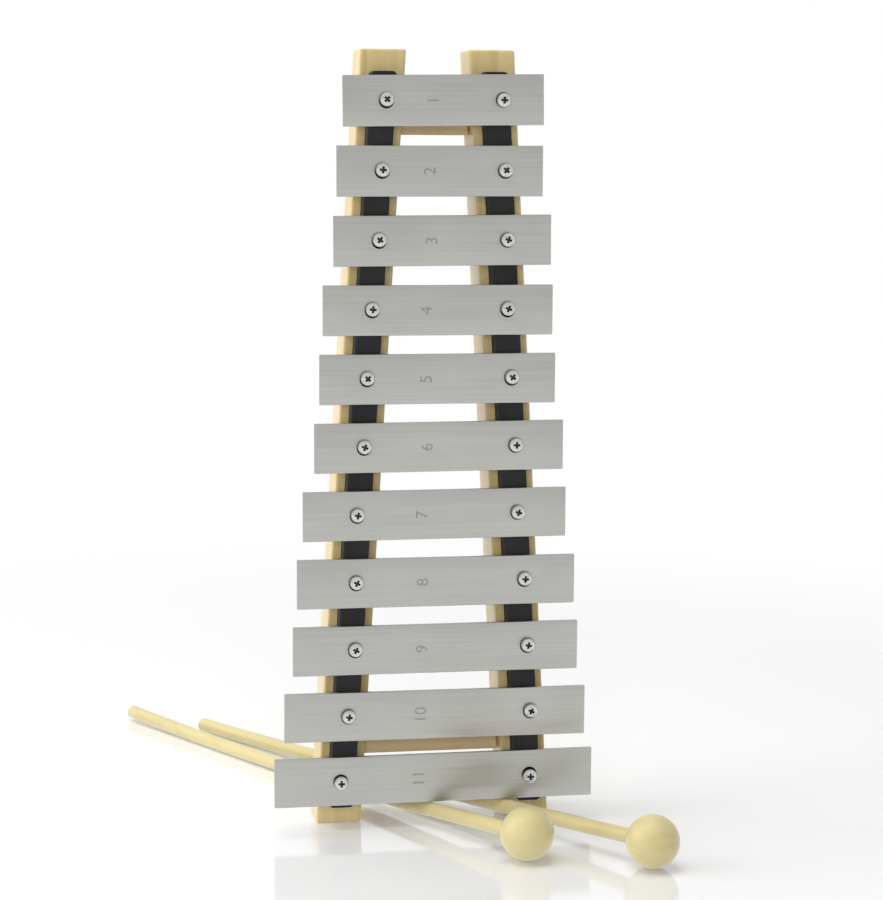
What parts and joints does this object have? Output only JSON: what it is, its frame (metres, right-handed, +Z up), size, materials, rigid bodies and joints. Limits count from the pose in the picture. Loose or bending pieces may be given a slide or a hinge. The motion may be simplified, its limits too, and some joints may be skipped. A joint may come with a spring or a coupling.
{
  "type": "metallophone",
  "caption": "Diatonic metallophone: satin aluminium bars of stepped length screwed through cushion strips to two converging wooden rails, with a pair of ball-headed mallets",
  "frame": {"origin": "centre of the bottom of the bounding box of the instrument and its two mallets, on the floor", "axes": "+Z up along the standing frame; the bars face -Y; +X to the viewer's right when facing the bars"},
  "size_m": [0.252, 0.3426, 0.3926],
  "materials": {
    "rail_wood": "planed pale softwood, thin satin lacquer",
    "brace_wood": "planed pale wood, slightly warmer than the rails",
    "dowel_wood": "turned pale wood, uncoated",
    "cushion_rubber": "matt black soft strip with upright collars",
    "bar_aluminium": "satin, brushed along each bar, with a small stamped number",
    "screw_zinc": "bright zinc plated pan head with a cross recess",
    "mallet_wood": "smooth pale turned wood, satin"
  },
  "bodies": {
    "frame": {"left_rail": "rail_wood", "right_rail": "rail_wood", "top_brace": "brace_wood", "bottom_brace": "brace_wood", "dowel_top_left": "dowel_wood", "dowel_top_right": "dowel_wood", "dowel_bottom_left": "dowel_wood", "dowel_bottom_right": "dowel_wood", "left_cushion_strip": "cushion_rubber", "right_cushion_strip": "cushion_rubber", "screw_01_left": "screw_zinc", "screw_01_right": "screw_zinc", "screw_02_left": "screw_zinc", "screw_02_right": "screw_zinc", "screw_03_left": "screw_zinc", "screw_03_right": "screw_zinc", "screw_04_left": "screw_zinc", "screw_04_right": "screw_zinc", "screw_05_left": "screw_zinc", "screw_05_right": "screw_zinc", "screw_06_left": "screw_zinc", "screw_06_right": "screw_zinc", "screw_07_left": "screw_zinc", "screw_07_right": "screw_zinc", "screw_08_left": "screw_zinc", "screw_08_right": "screw_zinc", "screw_09_left": "screw_zinc", "screw_09_right": "screw_zinc", "screw_10_left": "screw_zinc", "screw_10_right": "screw_zinc", "screw_11_left": "screw_zinc", "screw_11_right": "screw_zinc"},
    "bar_01": {"bar_01": "bar_aluminium"},
    "bar_02": {"bar_02": "bar_aluminium"},
    "bar_03": {"bar_03": "bar_aluminium"},
    "bar_04": {"bar_04": "bar_aluminium"},
    "bar_05": {"bar_05": "bar_aluminium"},
    "bar_06": {"bar_06": "bar_aluminium"},
    "bar_07": {"bar_07": "bar_aluminium"},
    "bar_08": {"bar_08": "bar_aluminium"},
    "bar_09": {"bar_09": "bar_aluminium"},
    "bar_10": {"bar_10": "bar_aluminium"},
    "bar_11": {"bar_11": "bar_aluminium"},
    "mallet_1": {"mallet_1_head": "mallet_wood", "mallet_1_shaft": "mallet_wood"},
    "mallet_2": {"mallet_2_head": "mallet_wood", "mallet_2_shaft": "mallet_wood"}
  },
  "joints": [
    {"name": "bar_01_float", "type": "slide", "parent": "frame", "child": "bar_01", "axis": [0, -1, 0], "range_m": [0, 0.0008]},
    {"name": "bar_02_float", "type": "slide", "parent": "frame", "child": "bar_02", "axis": [0, -1, 0], "range_m": [0, 0.0008]},
    {"name": "bar_03_float", "type": "slide", "parent": "frame", "child": "bar_03", "axis": [0, -1, 0], "range_m": [0, 0.0008]},
    {"name": "bar_04_float", "type": "slide", "parent": "frame", "child": "bar_04", "axis": [0, -1, 0], "range_m": [0, 0.0008]},
    {"name": "bar_05_float", "type": "slide", "parent": "frame", "child": "bar_05", "axis": [0, -1, 0], "range_m": [0, 0.0008]},
    {"name": "bar_06_float", "type": "slide", "parent": "frame", "child": "bar_06", "axis": [0, -1, 0], "range_m": [0, 0.0008]},
    {"name": "bar_07_float", "type": "slide", "parent": "frame", "child": "bar_07", "axis": [0, -1, 0], "range_m": [0, 0.0008]},
    {"name": "bar_08_float", "type": "slide", "parent": "frame", "child": "bar_08", "axis": [0, -1, 0], "range_m": [0, 0.0008]},
    {"name": "bar_09_float", "type": "slide", "parent": "frame", "child": "bar_09", "axis": [0, -1, 0], "range_m": [0, 0.0008]},
    {"name": "bar_10_float", "type": "slide", "parent": "frame", "child": "bar_10", "axis": [0, -1, 0], "range_m": [0, 0.0008]},
    {"name": "bar_11_float", "type": "slide", "parent": "frame", "child": "bar_11", "axis": [0, -1, 0], "range_m": [0, 0.0008]},
    {"name": "mallet_1_pull", "type": "slide", "parent": "frame", "child": "mallet_1", "axis": [0.503, -0.8643, 0], "range_m": [0, 0.3]},
    {"name": "mallet_2_pull", "type": "slide", "parent": "frame", "child": "mallet_2", "axis": [0.5534, -0.8329, 0], "range_m": [0, 0.28]}
  ]
}
